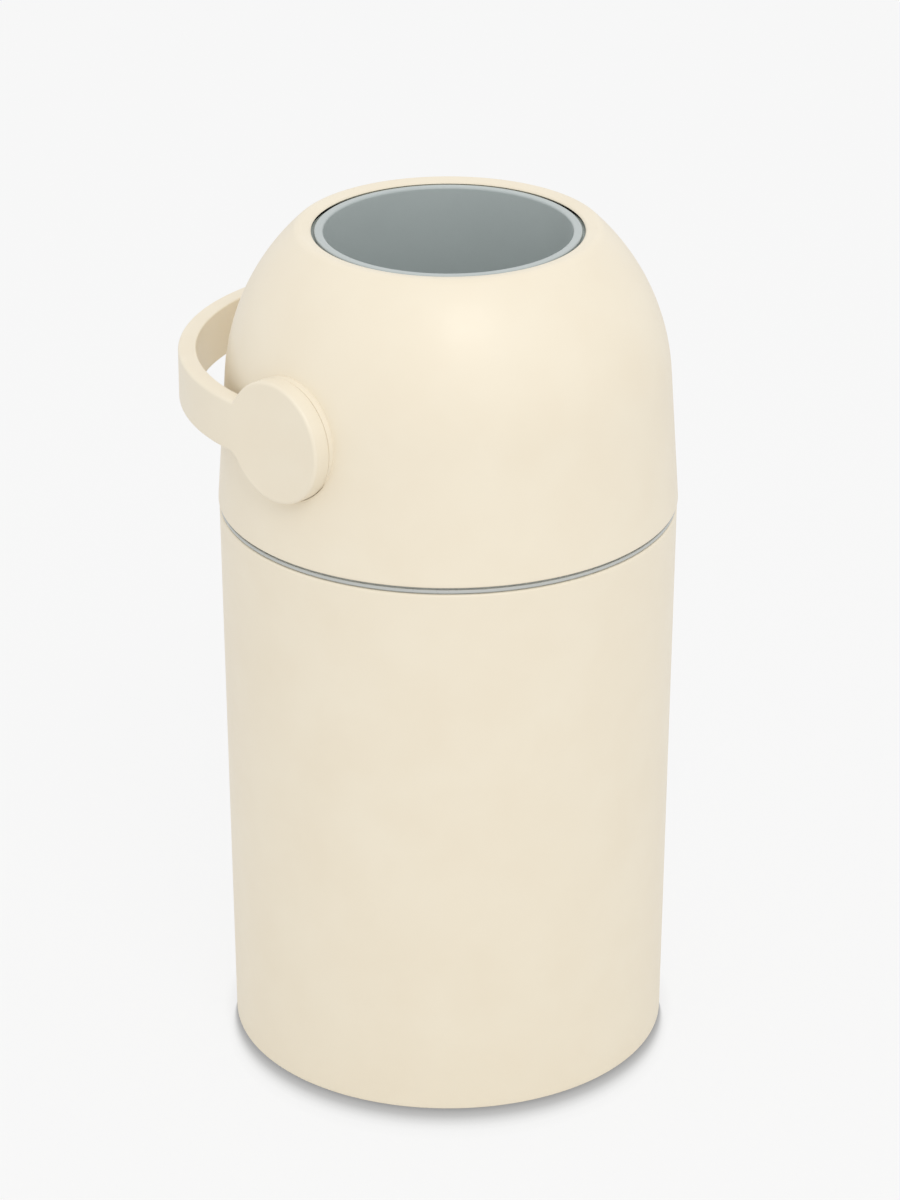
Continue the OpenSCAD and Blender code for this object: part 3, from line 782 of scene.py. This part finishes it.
upper, upper_flat = edge_points(upper_fillet, 1)
lower, lower_flat = edge_points(lower_fillet, -1)
inner_face = face_points(upper_flat[:, -1], lower_flat[:, -1], face_steps)
outer_face = face_points(lower_flat[:, 0], upper_flat[:, 0], face_steps)
half_bail = np.concatenate([upper, inner_face, lower[:, ::-1], outer_face], axis=1)
bail_points = np.concatenate([half_bail, half_bail[-2::-1] * [-1, 1, 1]])
bail_quads = grid_faces(len(bail_points), bail_points.shape[1], False, True)
moulding("bail", bail_points, bail_quads, "drum", ["handle"], CREAM, sharp=60)

# %% [markdown]
# ## The small parts
# The liner, the seals, the bushes, the axles and the screws keep their exact solids. Each gets the
# finish of its own stuff.

# %% Finishes of the small parts
small_parts = {
    "base_pad": rubber,
    "lid_liner": grey,
    "liner_screws": steel,
    "lid_gasket": rubber,
    "throat_seal": rubber,
    "mouth_seal": rubber,
    "bush_left": bush_white,
    "bush_right": bush_white,
    "drum_upper": ball_grey,
    "axle_left": steel,
    "axle_right": steel,
    "axle_screws": steel,
    "handle_screws": steel,
    "handle_washers": steel,
}
for node, material in small_parts.items():
    slots = frame["nodes"][node].data.materials
    slots.clear()
    slots.append(material)
    print(f"{node}: {material.name}")

# %% [markdown]
# ## Camera
# The photo looks down at about 25 degrees, from the bin's front left corner, through a long lens. These
# values were fitted to the seam, the mouth and the foot, which are circles of known size.

# %% Camera
camera_data = bpy.data.cameras.new("camera")
camera_data.lens = 131.8
camera_data.sensor_width = 36
camera_data.shift_x = 0.0024
camera = bpy.data.objects.new("camera", camera_data)
camera.location = (-1.607, -1.623, 1.317)
camera.rotation_euler = np.radians([65.24, 0, -44.7])
bpy.context.scene.collection.objects.link(camera)
bpy.context.scene.camera = camera
print("camera at", [round(v, 3) for v in camera.location])

# %% [markdown]
# ## Floor and light
# The photo has almost no shading: light comes from all round, with one large soft box above the camera
# that leaves a faint glow on the dome. So the world is an even pale light, and one area lamp stands for
# the box. The floor is a wide pale sheet. What the camera sees of it is mostly the even white of the
# backdrop, with a painted shadow near the bin. That painted contact shadow lies in front of the foot:
# the foot's circle, moved forwards by c, is a line of equal painted shade. A floor point at distance r
# from the axis, of which u forwards, has about `c = (r - foot) r / u`. Ambient occlusion darkens the
# glow in a fine dark line all round, which is painted shade too.

# %% Floor
paper = 0.95
sheet_white = 0.86
glow_share = 0.88
# Painted shade round the foot: the reach and the greys of the ambient occlusion that dims the glow.
painted_corner_reach = 10
painted_corner_shades = [(0.3, 0.88), (0.95, 1)]
foot_r = tub_r(tub_low[2])
# Painted contact shadow: it is shifted this way from the foot, towards the front left.
painted_shadow_way = (-0.704, -0.71, 0)
painted_shadow_reach = 40
painted_shadow_shades = [(0, 0.4), (0.15, 0.51), (0.29, 0.71), (0.42, 0.85), (0.55, 0.92), (0.8, paper)]


def shade_ramp(tree, value, shades):
    """A grey that goes evenly from each of the given (position, shade) pairs to the next."""
    node = tree.nodes.new("ShaderNodeValToRGB")
    elements = node.color_ramp.elements
    for position, _ in shades[1:-1]:
        elements.new(position)
    for element, (position, shade) in zip(elements, shades):
        element.position = position
        element.color = (shade, shade, shade, 1)
    tree.links.new(value, node.inputs["Fac"])
    return node.outputs["Color"]


def arithmetic(tree, operation, first, second):
    """One step of arithmetic on two sockets or numbers."""
    node = tree.nodes.new("ShaderNodeMath")
    node.operation = operation
    for socket, value in zip(node.inputs, (first, second)):
        if isinstance(value, bpy.types.NodeSocket):
            tree.links.new(value, socket)
        else:
            socket.default_value = value
    return node.outputs["Value"]


def painted_shadow_shift(tree):
    """c = (r - foot) r / u, as a share of the painted shadow's reach: the painted contact shadow is drawn
    over c. Behind the axis u is taken as 1 mm, which makes c large and the floor white."""
    position = tree.nodes.new("ShaderNodeTexCoord").outputs["Object"]
    from_axis = tree.nodes.new("ShaderNodeVectorMath")
    from_axis.operation = "LENGTH"
    tree.links.new(position, from_axis.inputs[0])
    forward = tree.nodes.new("ShaderNodeVectorMath")
    forward.operation = "DOT_PRODUCT"
    forward.inputs[1].default_value = painted_shadow_way
    tree.links.new(position, forward.inputs[0])
    r, u = from_axis.outputs["Value"], forward.outputs["Value"]
    beyond = arithmetic(tree, "SUBTRACT", r, foot_r * MM)
    shift = arithmetic(tree, "MULTIPLY", beyond, r)
    shift = arithmetic(tree, "DIVIDE", shift, arithmetic(tree, "MAXIMUM", u, MM))
    return arithmetic(tree, "DIVIDE", shift, painted_shadow_reach * MM)


def floor_finish():
    """Camera rays see a mix of the lit sheet and an even glow, which a painted shadow and ambient
    occlusion darken near the bin. Every other ray sees only the lit sheet, so the floor lights the bin as
    paper does."""
    material = bpy.data.materials.new("floor_paper")
    material.use_nodes = True
    tree = material.node_tree
    sheet = tree.nodes["Principled BSDF"]
    sheet.inputs["Base Color"].default_value = (sheet_white, sheet_white, sheet_white, 1)
    sheet.inputs["Roughness"].default_value = 0.9
    sheet.inputs["Specular IOR Level"].default_value = 0.1
    # Painted shade: ambient occlusion dims the glow in a fine dark line round the foot.
    near = tree.nodes.new("ShaderNodeAmbientOcclusion")
    near.inputs["Distance"].default_value = painted_corner_reach * MM
    near.samples = 16
    corner = shade_ramp(tree, near.outputs["AO"], painted_corner_shades)
    # The painted contact shadow: a ramp of grey over c, put into the glow's colour.
    painted_shadow = shade_ramp(tree, painted_shadow_shift(tree), painted_shadow_shades)
    glow = tree.nodes.new("ShaderNodeEmission")
    light_path = tree.nodes.new("ShaderNodeLightPath")
    share = arithmetic(tree, "MULTIPLY", light_path.outputs["Is Camera Ray"], glow_share)
    mix = tree.nodes.new("ShaderNodeMixShader")
    output = tree.nodes["Material Output"]
    tree.links.new(painted_shadow, glow.inputs["Color"])
    tree.links.new(corner, glow.inputs["Strength"])
    tree.links.new(share, mix.inputs["Fac"])
    tree.links.new(sheet.outputs["BSDF"], mix.inputs[1])
    tree.links.new(glow.outputs["Emission"], mix.inputs[2])
    tree.links.new(mix.outputs["Shader"], output.inputs["Surface"])
    return material


def floor_sheet(half, steps):
    """A flat grid of points at z = 0, from -half to half in metres along X and Y."""
    line = np.linspace(-half, half, steps + 1)
    x, y = np.meshgrid(line, line, indexing="ij")
    points = np.stack([x, y, np.zeros_like(x)], -1).reshape(-1, 3)
    mesh = bpy.data.meshes.new("floor")
    quads = grid_faces(steps + 1, steps + 1, False, False)[:, ::-1]
    mesh.from_pydata(points.tolist(), [], quads.tolist())
    mesh.materials.append(floor_finish())
    sheet = bpy.data.objects.new("floor", mesh)
    bpy.context.scene.collection.objects.link(sheet)
    print(f"floor of {2 * half} by {2 * half} m")


floor_sheet(half=8, steps=8)

# %% World and lamp
fill = 0.888


def studio_world():
    """An even pale light from all round. Camera rays see the white of the backdrop, and so do the rays
    that a glossy surface mirrors or a clear one lets through."""
    world = bpy.data.worlds.new("studio")
    world.use_nodes = True
    tree = world.node_tree
    light = tree.nodes["Background"]
    light.inputs["Color"].default_value = (1, 1, 1, 1)
    light.inputs["Strength"].default_value = fill
    backdrop = tree.nodes.new("ShaderNodeBackground")
    backdrop.inputs["Color"].default_value = (1, 1, 1, 1)
    backdrop.inputs["Strength"].default_value = paper
    light_path = tree.nodes.new("ShaderNodeLightPath")
    mix = tree.nodes.new("ShaderNodeMixShader")
    sees_backdrop = light_path.outputs["Is Camera Ray"]
    for kind in ("Is Glossy Ray", "Is Transmission Ray"):
        sees_backdrop = arithmetic(tree, "MAXIMUM", sees_backdrop, light_path.outputs[kind])
    tree.links.new(sees_backdrop, mix.inputs["Fac"])
    tree.links.new(light.outputs["Background"], mix.inputs[1])
    tree.links.new(backdrop.outputs["Background"], mix.inputs[2])
    tree.links.new(mix.outputs["Shader"], tree.nodes["World Output"].inputs["Surface"])
    return world


def soft_box(name, toward, distance, size, power):
    """A square lamp at a distance from the dome's middle, turned to face it."""
    data = bpy.data.lights.new(name, "AREA")
    data.shape = "SQUARE"
    data.size = size
    data.energy = power
    lamp = bpy.data.objects.new(name, data)
    middle = np.array([0, 0, axis_z * MM])
    way = np.array(toward) / np.linalg.norm(toward)
    lamp.location = middle + way * distance
    lamp.rotation_euler = Vector(-way).to_track_quat("-Z", "Y").to_euler()
    lamp.visible_camera = False
    bpy.context.scene.collection.objects.link(lamp)


bpy.context.scene.world = studio_world()
bpy.context.scene.view_settings.view_transform = "Standard"
soft_box("soft_box", toward=(-0.36, -0.56, 0.74), distance=2.2, size=0.9, power=10)
print("world at", fill, "with one soft box")
